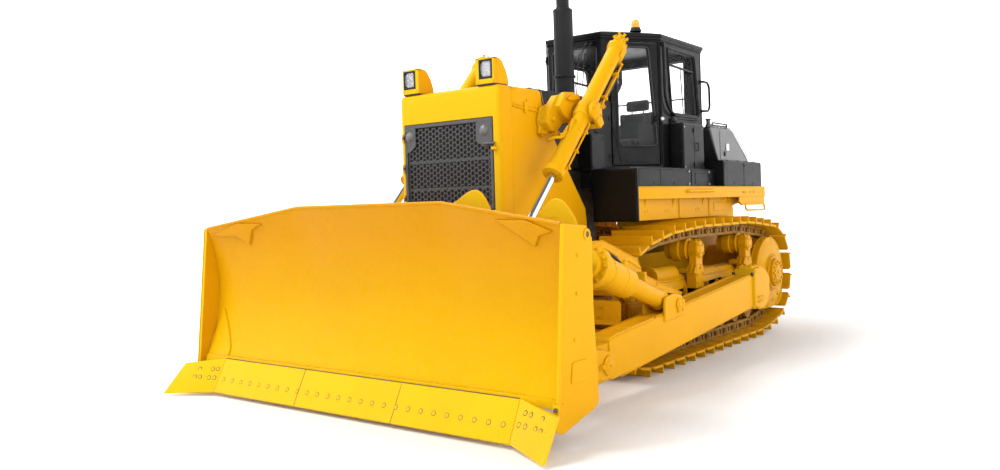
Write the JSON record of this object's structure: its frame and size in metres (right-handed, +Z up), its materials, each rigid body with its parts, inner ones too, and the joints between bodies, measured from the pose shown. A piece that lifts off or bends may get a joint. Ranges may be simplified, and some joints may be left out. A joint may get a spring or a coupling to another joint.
{
  "type": "crawler bulldozer",
  "caption": "Crawler bulldozer with a straight tilting blade on push arms, a six-sided cab, lift cylinders and fixed track loops.",
  "frame": {"origin": "on the ground at the bottom centre of the machine's box, at rest", "axes": "+X forwards towards the blade, +Y the machine's left, +Z up"},
  "size_m": [6.88, 4.13, 3.79],
  "materials": {
    "yellow_paint": "satin",
    "black_paint": "satin",
    "track_steel": "satin",
    "roller_steel": "rough",
    "edge_steel": "satin",
    "cylinder_rod": "polished",
    "glass": "clear",
    "seat": "matte",
    "plastic": "matte",
    "engine": "rough",
    "exhaust": "matte",
    "lamp_amber": "gloss",
    "grille": "satin"
  },
  "bodies": {
    "chassis": {"track_left": "track_steel", "track_right": "track_steel", "sprockets": "roller_steel", "final_drives": "yellow_paint", "idlers": "yellow_paint", "track_rollers": "roller_steel", "carrier_rollers": "yellow_paint", "track_frames": "yellow_paint", "main_frame": "yellow_paint", "rear_case": "yellow_paint", "drawbar": "yellow_paint", "engine_block": "engine", "radiator_guard": "yellow_paint", "radiator_core": "plastic", "work_lamps": "yellow_paint", "hood": "black_paint", "exhaust_pipe": "exhaust", "cab_frame": "black_paint", "cab_roof": "black_paint", "cab_glass": "glass", "operator_seat": "seat", "control_console": "plastic", "platform": "black_paint", "fenders": "yellow_paint", "rear_boxes": "black_paint", "fuel_tank": "black_paint", "handrails": "black_paint", "beacon": "lamp_amber", "lift_yokes": "yellow_paint"},
    "trunnions": {"trunnion_balls": "yellow_paint"},
    "arm_left": {"push_arm_left": "yellow_paint"},
    "arm_right": {"push_arm_right": "yellow_paint", "tilt_brace": "yellow_paint"},
    "blade": {"moldboard": "yellow_paint", "blade_frame": "yellow_paint", "blade_ears": "yellow_paint", "cutting_edge": "edge_steel", "end_bits": "edge_steel"},
    "tilt_barrel_body": {"tilt_barrel": "yellow_paint"},
    "tilt_rod_body": {"tilt_rod": "cylinder_rod"},
    "lift_barrel_left_body": {"lift_barrel_left": "yellow_paint"},
    "lift_barrel_right_body": {"lift_barrel_right": "yellow_paint"},
    "lift_rod_left_body": {"lift_rod_left": "cylinder_rod"},
    "lift_rod_right_body": {"lift_rod_right": "cylinder_rod"},
    "left_door": {"door_left": "black_paint", "door_glass_left": "glass"},
    "right_door": {"door_right": "black_paint", "door_glass_right": "glass"},
    "grille": {"grille_door": "grille"},
    "rain_flap": {"exhaust_flap": "exhaust"}
  },
  "joints": [
    {"name": "blade_lift", "type": "hinge", "parent": "chassis", "child": "trunnions", "pos_m": [-1.333, 0, 0.645], "axis": [0, 1, 0], "range_deg": [-20, 7]},
    {"name": "arm_left_swing", "type": "hinge", "parent": "trunnions", "child": "arm_left", "pos_m": [-1.333, 0, 0.645], "axis": [0, 1, 0], "range_deg": [-3.3, 3.3]},
    {"name": "arm_right_swing", "type": "hinge", "parent": "trunnions", "child": "arm_right", "pos_m": [-1.333, 0, 0.645], "axis": [0, 1, 0], "range_deg": [-3.3, 3.3]},
    {"name": "blade_tilt", "type": "hinge", "parent": "trunnions", "child": "blade", "pos_m": [2.022, 0, 0.355], "axis": [1, 0, 0], "range_deg": [-6.5, 6.5]},
    {"name": "tilt_barrel_swing", "type": "hinge", "parent": "arm_left", "child": "tilt_barrel_body", "pos_m": [0.752, 1.53, 0.68], "axis": [0, 1, 0], "range_deg": [-1.1, 1.1]},
    {"name": "tilt_rod_slide", "type": "slide", "parent": "tilt_barrel_body", "child": "tilt_rod_body", "axis": [0.946, 0, 0.3242], "range_m": [-0.025, 0.025]},
    {"name": "lift_barrel_left_swing", "type": "hinge", "parent": "chassis", "child": "lift_barrel_left_body", "pos_m": [0.974, 0.86, 2.427], "axis": [0, 1, 0], "range_deg": [-26.9, 9.5]},
    {"name": "lift_barrel_right_swing", "type": "hinge", "parent": "chassis", "child": "lift_barrel_right_body", "pos_m": [0.974, -0.86, 2.427], "axis": [0, 1, 0], "range_deg": [-26.9, 9.5]},
    {"name": "lift_rod_left_slide", "type": "slide", "parent": "lift_barrel_left_body", "child": "lift_rod_left_body", "axis": [0.6785, 0, -0.7346], "range_m": [-0.96, 0.338]},
    {"name": "lift_rod_right_slide", "type": "slide", "parent": "lift_barrel_right_body", "child": "lift_rod_right_body", "axis": [0.6785, 0, -0.7346], "range_m": [-0.96, 0.338]},
    {"name": "left_door_hinge", "type": "hinge", "parent": "chassis", "child": "left_door", "pos_m": [-0.2721, 0.41217, 2.65], "axis": [0, 0, -1], "range_deg": [0, 75]},
    {"name": "right_door_hinge", "type": "hinge", "parent": "chassis", "child": "right_door", "pos_m": [-0.2721, -0.41217, 2.65], "axis": [0, 0, 1], "range_deg": [0, 75]},
    {"name": "grille_hinge", "type": "hinge", "parent": "chassis", "child": "grille", "pos_m": [1.9, -0.534, 1.96], "axis": [0, 0, -1], "range_deg": [0, 40]},
    {"name": "rain_flap_hinge", "type": "hinge", "parent": "chassis", "child": "rain_flap", "pos_m": [0.042, 0.1, 3.778], "axis": [0, -1, 0], "range_deg": [0, 75]}
  ],
  "couplings": [
    {"joint": "arm_left_swing", "follows": "blade_tilt", "ratio": -0.446},
    {"joint": "arm_right_swing", "follows": "blade_tilt", "ratio": 0.446},
    {"joint": "tilt_barrel_swing", "follows": "blade_tilt", "ratio": 0.147},
    {"joint": "tilt_rod_slide", "follows": "blade_tilt", "m_per_rad": 0.209},
    {"joint": "lift_barrel_left_swing", "follows": "blade_lift", "ratio": 1.34},
    {"joint": "lift_barrel_right_swing", "follows": "blade_lift", "ratio": 1.34},
    {"joint": "lift_rod_left_slide", "follows": "blade_lift", "m_per_rad": 2.74},
    {"joint": "lift_rod_right_slide", "follows": "blade_lift", "m_per_rad": 2.74}
  ]
}
